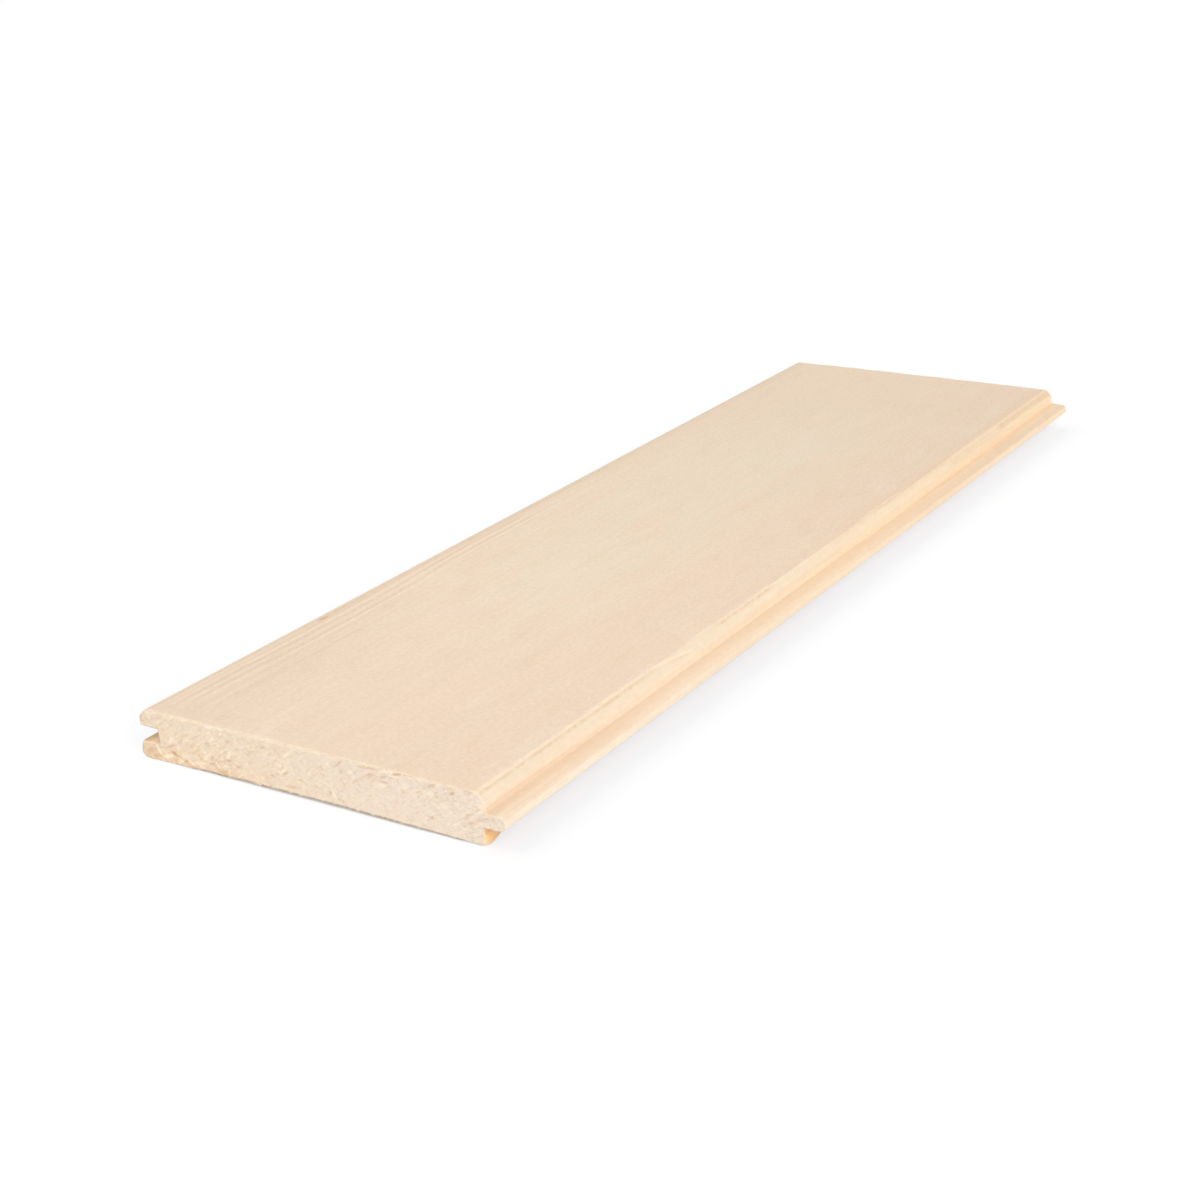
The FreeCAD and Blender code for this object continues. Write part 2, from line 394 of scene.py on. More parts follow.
def stroke_tone(x, z):
    """Tone of the near end's strokes at points of its plane: above 0 pale, below 0 brown."""
    tone = np.zeros(len(x))
    for strokes, sign in ((DARK_STROKES, -1), (LIGHT_STROKES, 1)):
        for at_x, at_z, length, height, lean, strength in strokes:
            turn = math.radians(lean)
            along = ((x - at_x) * math.cos(turn) + (z - at_z) * math.sin(turn)) / (length * STROKE_STRETCH)
            up = ((z - at_z) * math.cos(turn) - (x - at_x) * math.sin(turn)) / height
            tone += sign * strength * (1 - step(np.hypot(along, up), 0.35, 1.25))
    return np.clip(tone, -1, 1)


def make_board(box):
    """The board as one closed mesh, cupped, with its grain and sawn ends in relief."""
    low, high = np.array(box[0]) / MM, np.array(box[1]) / MM
    half = (high[1] - low[1]) / 2
    outline, kinds, arris = rounded_outline(section_corners(low[0]))
    normals = outward(outline)
    reach = arc_from_arris(outline, arris)
    rows = rows_along(high[1] - low[1])
    count = len(outline)
    places, phases, lines, reaches, tones = [], [], [], [], []
    for y in rows:
        x, z = outline[:, 0], outline[:, 1]
        phase = ring_phase(x, y, z)
        line = line_strength(x, y, phase)
        part = phase % 1.0
        dark = step(part, 0.55, 0.95) * (1 - step(part, 0.96, 1.0))
        sink = 0.01 + 0.05 * line * dark + 0.02 * (0.5 + 0.5 * grain(x / 0.8, y / 22.0, z / 0.8))
        sink = sink + arris * 0.05 * (0.5 + 0.5 * grain.layers(y / 3.0, x / 9.0, z / 9.0, count=3))
        across, along = end_wear(outline, y, half)
        moved = outline - normals * (sink + across)[:, None]
        # The bulge at the foot stands in for shade and reflected light on the floor
        moved[:, 0] += foot_shade_bulge(x, z, y, half)
        places.append(np.c_[moved[:, 0], y - math.copysign(1, y) * along, cupped(moved[:, 0], moved[:, 1])])
        phases.append(phase)
        lines.append(line)
        reaches.append(reach)
        tones.append(stroke_tone(x, z) if y == rows[0] else np.zeros(count))
    faces, face_kinds = [], []
    for row in range(len(rows) - 1):
        a, b = row * count, (row + 1) * count
        for n in range(count):
            m = (n + 1) % count
            faces.append((a + n, a + m, b + m, b + n))
            face_kinds.append(KINDS.index(kinds[n]))
    total = len(rows) * count
    for row, side in ((0, -1), (len(rows) - 1, 1)):
        across, _ = end_wear(outline, rows[row], half)
        flat = outline - normals * (across + 0.01)[:, None]
        grid, triangles = end_cap(flat, 40 + side)
        places.append(np.c_[grid[:, 0], side * (half - end_relief(grid[:, 0], grid[:, 1], side)),
                            cupped(grid[:, 0], grid[:, 1])])
        phases.append(ring_phase(grid[:, 0], side * half, grid[:, 1]))
        lines.append(np.full(len(grid), 0.3))
        reaches.append(np.zeros(len(grid)))
        tones.append(stroke_tone(grid[:, 0], grid[:, 1]) if side < 0 else np.zeros(len(grid)))
        start = row * count
        for face in triangles:
            named = [start + i if i < count else total + i - count for i in face]
            faces.append(named if side < 0 else named[::-1])
            face_kinds.append(KINDS.index("end"))
        total += len(grid)
    mesh = bpy.data.meshes.new("board")
    mesh.from_pydata(np.vstack(places) * MM, [], faces)
    for name, values in (("ring", phases), ("line", lines), ("reach", reaches), ("tone", tones)):
        layer = mesh.attributes.new(name, "FLOAT", "POINT")
        layer.data.foreach_set("value", np.concatenate(values).astype(np.float32))
    mesh.polygons.foreach_set("material_index", np.array(face_kinds, np.int32))
    mesh.polygons.foreach_set("use_smooth", np.ones(len(faces), bool))
    mesh.update()
    board = bpy.data.objects.new("board", mesh)
    bpy.context.scene.collection.objects.link(board)
    return board


class Nodes:
    """Short names for the shader nodes used here."""

    def __init__(self, name):
        self.material = bpy.data.materials.new(name)
        self.material.use_nodes = True
        self.tree = self.material.node_tree
        self.shader = self.tree.nodes["Principled BSDF"]

    def add(self, kind, inputs=(), **settings):
        node = self.tree.nodes.new(kind)
        for key, value in settings.items():
            setattr(node, key, value)
        for key, value in dict(inputs).items():
            self.give(node.inputs[key], value)
        return node

    def give(self, socket, value):
        if isinstance(value, bpy.types.NodeSocket):
            self.tree.links.new(value, socket)
        else:
            socket.default_value = value

    def place(self):
        return self.add("ShaderNodeTexCoord").outputs["Object"]

    def attribute(self, name):
        return self.add("ShaderNodeAttribute", attribute_name=name).outputs["Fac"]

    def stretched(self, scale, offset=(0, 0, 0), lean=0.0):
        """The place, turned about Y by the lean in degrees, times a scale for each axis in units a metre."""
        place = self.place()
        if lean:
            turned = self.add("ShaderNodeMapping", {"Vector": place, "Rotation": (0, math.radians(lean), 0)})
            place = turned.outputs["Vector"]
        node = self.add("ShaderNodeMapping", {"Vector": place, "Scale": scale, "Location": offset})
        return node.outputs["Vector"]

    def noise(self, scale, detail=3.0, rough=0.5, distort=0.0, offset=(0, 0, 0), lean=0.0):
        node = self.add(
            "ShaderNodeTexNoise",
            {"Vector": self.stretched(scale, offset, lean), "Scale": 1.0, "Detail": detail, "Roughness": rough,
             "Distortion": distort},
        )
        return node.outputs["Fac"]

    def math(self, operation, a, b=0.0):
        return self.add("ShaderNodeMath", {0: a, 1: b}, operation=operation).outputs[0]

    def product(self, *factors):
        total = factors[0]
        for factor in factors[1:]:
            total = self.math("MULTIPLY", total, factor)
        return total

    def span(self, value, low, high, to_low=0.0, to_high=1.0):
        """The value, from low..high to to_low..to_high, smooth and held at both ends."""
        node = self.add(
            "ShaderNodeMapRange",
            {"Value": value, "From Min": low, "From Max": high, "To Min": to_low, "To Max": to_high},
            interpolation_type="SMOOTHSTEP",
        )
        return node.outputs["Result"]

    def mix(self, fac, a, b, blend="MIX"):
        node = self.add("ShaderNodeMix", data_type="RGBA", blend_type=blend)
        self.give(node.inputs["Factor"], fac)
        self.give(node.inputs[6], a)
        self.give(node.inputs[7], b)
        return node.outputs[2]

    def axis(self, name):
        """One coordinate of the place, in mm."""
        place = self.add("ShaderNodeSeparateXYZ", {"Vector": self.place()})
        return self.math("MULTIPLY", place.outputs[name], 1 / MM)

    def window(self, value, start, stop, soft):
        """1 between start and stop, 0 outside."""
        rise = self.span(value, start - soft, start + soft)
        return self.math("MULTIPLY", rise, self.span(value, stop - soft, stop + soft, 1.0, 0.0))

    def spot(self, centre, size, edge=0.5):
        """1 at a place given in mm, falling to 0 outside an ellipsoid of the half sizes given."""
        scale = tuple(1 / (s * MM) for s in size)
        offset = tuple(-c / s for c, s in zip(centre, size))
        node = self.add("ShaderNodeVectorMath", {0: self.stretched(scale, offset)}, operation="LENGTH")
        return self.span(node.outputs["Value"], edge, 1.0, 1.0, 0.0)

    def bump(self, height, distance, strength=1.0):
        node = self.add("ShaderNodeBump", {"Height": height, "Distance": distance, "Strength": strength})
        self.give(self.shader.inputs["Normal"], node.outputs["Normal"])

    def finish(self, colour, rough, specular=0.35):
        self.give(self.shader.inputs["Base Color"], colour)
        self.give(self.shader.inputs["Roughness"], rough)
        self.shader.inputs["Specular IOR Level"].default_value = specular
        return self.material


def ring_lines(n):
    """0 in early wood, rising to 1 at each dark ring."""
    part = n.math("FRACT", n.attribute("ring"))
    rise = n.span(part, 0.45, 0.9)
    fall = n.span(part, 0.93, 1.0, 1.0, 0.0)
    return n.math("MULTIPLY", rise, fall)


def wavering(n, value, amount, pitch, offset=0.0):
    """The value, in mm, with a slow waver along the grain."""
    waver = n.noise((0, 1000 / pitch, 0), detail=2, offset=(offset, 0, 0))
    return n.math("ADD", value, n.math("MULTIPLY", n.math("SUBTRACT", waver, 0.5), 4 * amount))


def draw_lines(n, colour, value, lines, tone):
    """Mix a tone in along lines given as (place, half width, from y, to y, slope, strength), in mm.

    The lines are broken up, less so towards the far end.
    """
    y = n.axis("Y")
    broken = n.span(n.noise((260, 420, 260), detail=4, rough=0.7, offset=(4, 1, 8)), 0.38, 0.6, 0.35, 1.0)
    broken = n.math("MAXIMUM", broken, n.span(y, 70.0, 110.0, 0.0, 0.8))
    for place, half, start, stop, slope, strength in lines:
        middle = n.math("ADD", n.math("MULTIPLY", y, slope), place - slope * start) if slope else place
        gap = n.math("ABSOLUTE", n.math("SUBTRACT", value, middle))
        near = n.span(gap, 0.4 * half, 1.3 * half, 1.0, 0.0)
        colour = n.mix(n.product(near, n.window(y, start, stop, 4.0), broken, strength), colour, tone)
    return colour


EDGE_LIGHT = linear(255, 234, 205)
EDGE_TAN = linear(226, 190, 150)
# Lines along the tongue side's face arris, placed by the distance from it: worn fibres and the cutter's burn
ARRIS_LIGHTS = (
    (-0.3, 0.7, -206, -112, 0.0, 0.75),
    (-0.1, 0.55, -113, -94, 0.12, 0.8),
    (-0.5, 0.45, -92, -42, 0.0, 0.6),
    (-0.7, 0.5, 27, 58, 0.0, 0.6),
    (-0.5, 0.5, 100, 206, 0.0, 0.5),
)
ARRIS_TANS = (
    (0.8, 0.55, -206, -113, 0.0, 0.5),
    (1.5, 0.35, -106, -98, 0.12, 0.35),
    (0.75, 0.5, -78, -42, 0.0, 0.6),
    (0.1, 0.4, 34, 60, 0.0, 0.35),
    (0.5, 0.7, 0, 98, 0.0, 0.25),
    (1.7, 1.5, 98, 150, 0.0, 0.34),
    (1.3, 1.3, 146, 206, 0.0, 0.72),
)


def arris_marks(n, colour):
    """The pale and tan lines at the tongue side's face arris."""
    reach = wavering(n, n.attribute("reach"), 0.12, 5.0)
    colour = draw_lines(n, colour, reach, ARRIS_LIGHTS, EDGE_LIGHT)
    return draw_lines(n, colour, reach, ARRIS_TANS, EDGE_TAN)


def sawn_rim(n, colour, most=0.6):
    """The last of every long side is paler, where the saw broke its fibres."""
    left = n.math("SUBTRACT", 200.0, n.math("ABSOLUTE", n.axis("Y")))
    ragged = n.noise((420, 90, 420), detail=3, rough=0.6)
    edge = n.product(n.span(left, 0.2, 1.2, 1.0, 0.0), n.span(ragged, 0.35, 0.6, 0.2, 1.0), most)
    return n.mix(edge, colour, EDGE_LIGHT)


FACE_BASE = linear(242, 219, 195)
FACE_LATE = linear(222, 190, 157)
FACE_PINK = linear(242, 214, 189)
FACE_STRAW = linear(240, 225, 200)
FACE_WARM = linear(255, 250, 244)
FACE_NEAR = linear(250, 250, 249)
FACE_SHADE = linear(233, 210, 184)
# Painted shade towards the far end, where the light falls off
FAR_FALLOFF_SHADE = linear(244, 245, 244)
LINE_DARK = linear(219, 191, 162)
LINE_LIGHT = linear(248, 229, 208)
RESIN = linear(190, 146, 104)
# Lines along the groove side's arris, placed by x
EDGE_DARKS = (
    (-56.9, 0.5, -198, -10, 0.0, 0.45),
    (-57.0, 0.4, 10, 170, 0.0, 0.3),
    (-55.3, 1.3, -150, -96, 0.0, 0.3),
    (-56.1, 0.6, -125, 40, 0.0, 0.45),
)
EDGE_LIGHTS = ((-55.8, 0.35, -190, -132, 0.0, 0.35),)
# The plainest grain lines of the face, which bend together, placed by their x where the bend is nothing
FACE_DARKS = (
    (-52.6, 0.45, -192, -20, 0.0, 0.55),
    (-49.6, 0.45, -190, -10, 0.0, 0.45),
    (-45.6, 0.5, -190, -90, 0.0, 0.2),
    (-41.6, 0.45, -190, -125, 0.0, 0.45),
    (-23.6, 0.35, -190, -158, 0.004, 0.25),
    (-13.0, 0.35, -194, -168, 0.0, 0.25),
    (-35.5, 0.35, -196, -172, 0.0, 0.2),
)
FACE_LIGHTS = (
    (-54.2, 0.4, -192, -60, 0.0, 0.35),
    (-54.3, 0.35, -165, -96, 0.0, 0.5),
    (-51.1, 0.45, -190, -20, 0.0, 0.45),
    (-48.0, 0.45, -190, 45, 0.0, 0.55),
    (-43.6, 0.4, -192, -158, 0.0, 0.3),
)


def grain_bend(n, y):
    """How far the grain lines near the groove side have swung across at a place along the board, in mm."""
    near = n.span(y, -185.0, -135.0, 0.0, 1.0)
    middle = n.span(y, -110.0, -45.0, 0.0, -2.4)
    return n.math("ADD", n.math("ADD", near, middle), n.span(y, -40.0, 20.0, 0.0, 0.7))


def far_falloff_shade(n, colour):
    """Painted shade: the wood is darker towards the far end, as the light falls off there."""
    return n.mix(n.span(n.axis("Y"), -160.0, 200.0), colour, FAR_FALLOFF_SHADE, blend="MULTIPLY")


def face_wood():
    """Planed face: fine lines near the groove side, straw in the middle, pinker towards the tongue."""
    n = Nodes("planed_face")
    x, y = n.axis("X"), n.axis("Y")
    broad = n.noise((60, 16, 60), detail=3)
    pink = n.product(n.span(x, -10.0, 45.0, 0.25, 1.0), n.span(broad, 0.35, 0.62))
    colour = n.mix(n.math("MULTIPLY", pink, 0.6), FACE_BASE, FACE_PINK)
    clouds = n.noise((90, 26, 90), offset=(5, 2, 0))
    straw = n.product(n.window(x, -46.0, 16.0, 12.0), n.window(y, -110.0, 130.0, 50.0), n.span(clouds, 0.3, 0.6))
    colour = n.mix(n.math("MULTIPLY", straw, 0.75), colour, FACE_STRAW)
    patches = n.noise((130, 42, 130), detail=4, rough=0.6, offset=(2, 7, 0))
    colour = n.mix(n.span(patches, 0.52, 0.7, 0.0, 0.3), colour, LINE_LIGHT)
    colour = n.mix(n.span(patches, 0.3, 0.45, 0.14, 0.0), colour, FACE_LATE)
    mottle = n.noise((1000, 560, 1000), detail=4, rough=0.7)
    colour = n.mix(n.span(mottle, 0.35, 0.7, 0.0, 0.3), colour, FACE_LATE)
    colour = n.mix(n.span(mottle, 0.3, 0.45, 0.28, 0.0), colour, LINE_LIGHT)
    streaks = n.noise((1000, 50, 1000), detail=4, rough=0.6)
    colour = n.mix(n.span(streaks, 0.4, 0.75, 0.0, 0.15), colour, FACE_LATE)
    warm = n.product(n.span(x, 46.0, 51.0), n.span(y, -80.0, 120.0))
    colour = n.mix(warm, colour, FACE_WARM, blend="MULTIPLY")
    near = n.product(n.span(x, -46.0, -22.0, 1.0, 0.0), n.span(y, -165.0, -90.0, 1.0, 0.0))
    colour = n.mix(near, colour, FACE_NEAR, blend="MULTIPLY")
    colour = n.mix(n.product(ring_lines(n), n.attribute("line"), 0.4), colour, FACE_LATE)
    place = wavering(n, x, 0.25, 26.0, 3.0)
    shade = n.product(n.span(place, -56.2, -52.0, 1.0, 0.0), n.span(clouds, 0.3, 0.55, 0.5, 0.85))
    colour = n.mix(shade, colour, FACE_SHADE)
    colour = draw_lines(n, colour, place, EDGE_DARKS, LINE_DARK)
    colour = draw_lines(n, colour, place, EDGE_LIGHTS, LINE_LIGHT)
    bent = n.math("SUBTRACT", place, grain_bend(n, y))
    colour = draw_lines(n, colour, bent, FACE_DARKS, LINE_DARK)
    colour = draw_lines(n, colour, bent, FACE_LIGHTS, LINE_LIGHT)
    colour = n.mix(n.math("MULTIPLY", n.spot((-55.9, -125.0, 15), (0.9, 3.0, 3)), 0.45), colour, RESIN)
    colour = far_falloff_shade(n, sawn_rim(n, arris_marks(n, colour)))
    n.bump(n.noise((2200, 60, 2200), detail=3), 0.00005, 0.5)
    return n.finish(colour, n.span(broad, 0.3, 0.7, 0.62, 0.5))


SIDE_LIGHT = linear(248, 229, 203)
SIDE_PALE = linear(254, 239, 216)
SIDE_WARM = linear(243, 215, 183)
TONGUE_TAN = linear(250, 225, 197)
NOSE_PALE = linear(254, 236, 213)
RECESS_PAINTED_LIGHT = linear(251, 211, 161)
FOOT_SHADE_ORANGE = linear(238, 192, 124)
SIDE_FAR_SHADE = linear(254, 249, 240)
TONGUE_FAR_SHADE = linear(244, 246, 249)
TONGUE_NEAR = linear(251, 248, 246)


def side_wood():
    """Milled bevels, shoulders and tongue: a pale shoulder, a tan tongue with a pale nose, and stripes."""
    n = Nodes("milled_side")
    reach = wavering(n, n.attribute("reach"), 0.2, 13.0, 5.0)
    y = n.axis("Y")
    # Painted light and shade: the shoulder is painted paler than the bevel, against the shade that falls on its lower
    # part; from the root on the tongue is tan, partly its own tone and partly painted shade at the root and below the
    # shoulder
    colour = n.mix(n.span(reach, 3.0, 5.0), SIDE_LIGHT, SIDE_PALE)
    root = n.math("ADD", n.span(y, -190.0, -130.0, 3.7, 5.4), n.span(y, -60.0, 20.0, 0.0, -0.5))
    colour = n.mix(n.span(n.math("SUBTRACT", reach, root), 0.0, 1.7), colour, TONGUE_TAN)
    # Painted highlight: the nose is painted paler where it catches the light, half as much on a stretch in the middle
    nose_highlight = n.math("SUBTRACT", 1.0, n.math("MULTIPLY", n.window(y, -90.0, 0.0, 12.0), 0.5))
    edge = n.math("SUBTRACT", reach, n.span(y, -20.0, 40.0, 0.0, 0.5))
    colour = n.mix(n.product(n.span(edge, 11.6, 12.6), nose_highlight), colour, NOSE_PALE)
    tongue_near = n.product(n.span(y, -155.0, -110.0, 1.0, 0.0), n.window(reach, 5.0, 12.0, 1.0))
    colour = n.mix(tongue_near, colour, TONGUE_NEAR, blend="MULTIPLY")
    # Painted shade: the milled side is darker towards the far end, where the light falls off
    colour = n.mix(n.span(y, -130.0, 80.0), colour, SIDE_FAR_SHADE, blend="MULTIPLY")
    # Painted shade: the tongue is darker towards the far end, and its nose bevel more so, against the light the bevel
    # catches from the key lamp
    tongue_far_shade = n.product(n.span(y, -10.0, 150.0), n.window(reach, 8.0, 12.0, 0.5))
    colour = n.mix(tongue_far_shade, colour, TONGUE_FAR_SHADE, blend="MULTIPLY")
    nose_far_shade = n.product(n.span(y, -20.0, 60.0), n.window(reach, 10.4, 11.9, 0.3), 0.6)
    colour = n.mix(nose_far_shade, colour, TONGUE_FAR_SHADE, blend="MULTIPLY")
    # Painted light: the recess below the tongue lies in shade, and is painted a brighter orange than the shade leaves
    # it
    colour = n.mix(n.span(n.attribute("reach"), 20.0, 22.0), colour, RECESS_PAINTED_LIGHT)
    # Painted shade and reflection: the bulge at the foot is painted a broken orange, for the shaded floor there that
    # takes the wood's colour
    torn = n.noise((700, 160, 700), detail=3, rough=0.6, offset=(3, 3, 1))
    foot_shade_mask = n.product(n.span(n.attribute("reach"), 20.0, 22.0), n.span(y, -196.0, -188.0, 1.0, 0.0))
    colour = n.mix(n.product(foot_shade_mask, n.span(torn, 0.35, 0.6, 0.3, 0.9)), colour, FOOT_SHADE_ORANGE)
    colour = n.mix(n.span(n.attribute("reach"), 25.4, 26.6, 0.0, 0.7), colour, NOSE_PALE)
    stripes = n.noise((380, 8, 380), detail=4, rough=0.6)
    colour = n.mix(n.span(stripes, 0.42, 0.72, 0.0, 0.38), colour, SIDE_WARM)
    colour = n.mix(n.span(stripes, 0.28, 0.45, 0.4, 0.0), colour, SIDE_PALE)
    grain = n.noise((620, 330, 620), detail=4, rough=0.65)
    colour = n.mix(n.span(grain, 0.3, 0.7, 0.0, 0.16), colour, EDGE_TAN)
    colour = sawn_rim(n, arris_marks(n, colour), 0.7)
    n.bump(n.noise((1800, 50, 1800), detail=3), 0.00005, 0.5)
    return n.finish(colour, n.span(stripes, 0.3, 0.7, 0.48, 0.6))


INSIDE_OLIVE = linear(198, 170, 122)
INSIDE_TAN = linear(238, 214, 184)


def inside_wood():
    """Groove and recess under the tongue: the darkest and warmest of the milled surfaces."""
    n = Nodes("milled_inside")
    x = n.axis("X")
    stripes = n.noise((420, 9, 420), detail=3, rough=0.55)
    colour = n.mix(n.span(stripes, 0.3, 0.7), INSIDE_TAN, SIDE_WARM)
    colour = n.mix(n.span(x, -59.8, -57.0, 1.0, 0.0), colour, INSIDE_OLIVE)
    # Painted light: the underside of the tongue, in shade, is painted a brighter orange than the shade leaves it
    colour = n.mix(n.span(x, 0.0, 1.0), colour, RECESS_PAINTED_LIGHT)
    colour = sawn_rim(n, colour, 0.5)
    n.bump(n.noise((1800, 50, 1800), detail=3), 0.00005, 0.5)
    return n.finish(colour, n.span(stripes, 0.3, 0.7, 0.5, 0.6))


def back_wood():
    """Planed back, plainer than the face."""
    n = Nodes("planed_back")
    streaks = n.noise((900, 18, 900), detail=4, rough=0.6)
    colour = n.mix(n.span(streaks, 0.35, 0.75, 0.0, 0.4), FACE_BASE, FACE_LATE)
    colour = n.mix(n.math("MULTIPLY", ring_lines(n), 0.35), colour, FACE_LATE)
    n.bump(n.noise((1800, 50, 1800), detail=3), 0.00008, 0.5)
    return n.finish(colour, n.span(streaks, 0.3, 0.7, 0.55, 0.65))


END_LEFT = linear(237, 217, 193)
END_RIGHT = linear(238, 223, 206)
END_LIGHT = linear(253, 239, 219)
END_TAN = linear(222, 190, 157)
END_GREY = linear(236, 221, 204)
END_ORANGE = linear(228, 192, 146)
END_CREAM = linear(255, 240, 214)
END_BROWN = linear(205, 163, 118)
# Painted shade along the foot of the near end
END_FOOT_SHADE = linear(176, 161, 140)
END_PINK = linear(240, 213, 190)
END_STRAW = linear(245, 226, 196)


def end_wood():
    """Sawn end grain: torn fibres at a slant, calmer in the middle, browner low on the groove side."""
    n = Nodes("sawn_end")
    x, y, z = n.axis("X"), n.axis("Y"), n.axis("Z")
    blotches = n.noise((150, 150, 200), detail=4, rough=0.6, offset=(3, 0, 1), distort=0.8)
    colour = n.mix(n.span(x, -45.0, 35.0), END_LEFT, END_RIGHT)
    colour = n.mix(n.span(blotches, 0.45, 0.6, 0.0, 0.6), colour, END_GREY)
    tint = n.noise((270, 270, 330), detail=3, rough=0.55, distort=1.2, offset=(6, 0, 3))
    plain = n.span(x, -20.0, 20.0, 1.0, 0.5)
    colour = n.mix(n.product(n.span(tint, 0.5, 0.62), plain, 0.55), colour, END_PINK)
    colour = n.mix(n.product(n.span(tint, 0.38, 0.5, 1.0, 0.0), plain, 0.6), colour, END_STRAW)
    calm = n.product(n.window(x, -22.0, 34.0, 9.0), n.span(blotches, 0.4, 0.6, 0.3, 1.0))
    lively = n.math("SUBTRACT", 1.0, n.math("MULTIPLY", calm, 0.5))
    warped = n.math("ADD", z, n.math("MULTIPLY", n.math("SUBTRACT", blotches, 0.5), 14.0))
    low_left = n.product(n.span(x, -36.0, -2.0, 1.0, 0.0), n.span(warped, 0.5, 6.5, 1.0, 0.0))
    colour = n.mix(n.math("MULTIPLY", low_left, 0.3), colour, END_ORANGE)
    lip = n.product(n.span(x, -56.0, -52.0, 1.0, 0.0), n.span(z, 4.0, 6.0, 1.0, 0.0))
    colour = n.mix(n.math("MULTIPLY", lip, 0.35), colour, END_ORANGE)
    rising = n.noise((230, 230, 950), detail=4, rough=0.6, distort=1.6, lean=34.0)
    falling = n.noise((190, 190, 1000), detail=4, rough=0.55, distort=0.9, lean=-28.0, offset=(2, 0, 5))
    colour = n.mix(n.product(n.span(rising, 0.52, 0.68), lively, 0.6), colour, END_TAN)
    colour = n.mix(n.product(n.span(rising, 0.3, 0.44, 1.0, 0.0), lively, 0.65), colour, END_LIGHT)
    colour = n.mix(n.product(n.span(falling, 0.5, 0.64), low_left, 0.8), colour, END_ORANGE)
    colour = n.mix(n.product(n.span(falling, 0.34, 0.46, 1.0, 0.0), low_left, 0.8), colour, END_CREAM)
    dust = n.noise((620, 620, 620), detail=4, rough=0.7, offset=(1, 6, 4), distort=1.0)
    colour = n.mix(n.product(n.span(dust, 0.5, 0.66), lively, 0.18), colour, END_TAN)
    colour = n.mix(n.product(n.span(dust, 0.3, 0.45, 1.0, 0.0), 0.25), colour, END_LIGHT)
    beads = n.noise((330, 60, 60), detail=3, rough=0.6, offset=(7, 0, 0))
    rim = n.product(n.span(z, 13.8, 14.6), n.span(beads, 0.4, 0.56, 0.2, 1.0), 0.6)
    colour = n.mix(rim, colour, EDGE_LIGHT)
    outer = n.product(n.span(x, 52.6, 54.2), n.span(z, 9.2, 9.8), 0.6)
    colour = n.mix(outer, colour, EDGE_LIGHT)
    tone = n.math("MULTIPLY", n.attribute("tone"), n.span(dust, 0.35, 0.6, 0.7, 1.15))
    colour = n.mix(n.math("MULTIPLY", tone, -1.0), colour, END_BROWN)
    colour = n.mix(tone, colour, END_CREAM)
    # Painted shade: the foot of the near end, just above the hollow, is darkened, which widens the dark line where the
    # board meets the floor
    across = n.math("MULTIPLY", n.product(x, x), HOLLOW / CUP_HALF_WIDTH ** 2)
    above = n.math("SUBTRACT", n.math("ADD", z, across), HOLLOW)
    foot = n.product(n.span(above, 0.3, 0.75, 1.0, 0.0), n.window(x, -41.0, 49.0, 3.0), n.span(y, 0.0, 10.0, 1.0, 0.0))
    colour = n.mix(n.product(foot, n.span(beads, 0.35, 0.55, 0.15, 0.85)), colour, END_FOOT_SHADE)
    n.bump(n.noise((1500, 1500, 1500), detail=3), 0.0001, 0.5)
    return n.finish(colour, n.span(dust, 0.3, 0.7, 0.7, 0.85), specular=0.2)


FIBRE_PALE = linear(252, 236, 212)


def fibre_wood():
    """Fibres that the saw tore loose: paler than the board."""
    n = Nodes("torn_fibre")
    colour = n.mix(n.span(n.noise((500, 500, 500), detail=2), 0.4, 0.65), FIBRE_PALE, END_LEFT)
    return n.finish(colour, n.span(n.noise((1500, 1500, 1500)), 0.3, 0.7, 0.7, 0.8), specular=0.2)


FIBRE_SIDES = 6
FIBRE_STEPS = 7


def add_fibre(points, radius, places, faces):
    """A closed tapering fibre through the points, in mm."""
    start = len(places)
    last = len(points) - 1
    for k, point in enumerate(points):
        ahead = points[min(k + 1, last)] - points[max(k - 1, 0)]
        ahead = ahead / np.linalg.norm(ahead)
        across = np.cross(ahead, (0.0, 0.0, 1.0))
        across = across / np.linalg.norm(across)
        up = np.cross(across, ahead)
        thick = radius * math.sin(math.pi * (0.08 + 0.84 * k / last)) ** 0.7
        for n in range(FIBRE_SIDES):
            turn = 2 * math.pi * n / FIBRE_SIDES
            places.append(point + thick * (math.cos(turn) * across + math.sin(turn) * up))
    for k in range(last):
        a, b = start + k * FIBRE_SIDES, start + (k + 1) * FIBRE_SIDES
        for n in range(FIBRE_SIDES):
            m = (n + 1) % FIBRE_SIDES
            faces.append((a + n, a + m, b + m, b + n))
    faces.append(tuple(start + n for n in reversed(range(FIBRE_SIDES))))
    faces.append(tuple(start + last * FIBRE_SIDES + n for n in range(FIBRE_SIDES)))


# Fibre curled round a nick in the near corner on the tongue side, as (x, z)
NICK = ((53.0, 14.55), (52.3, 14.3), (51.9, 13.8), (52.0, 13.2), (52.5, 12.8), (53.2, 12.7))


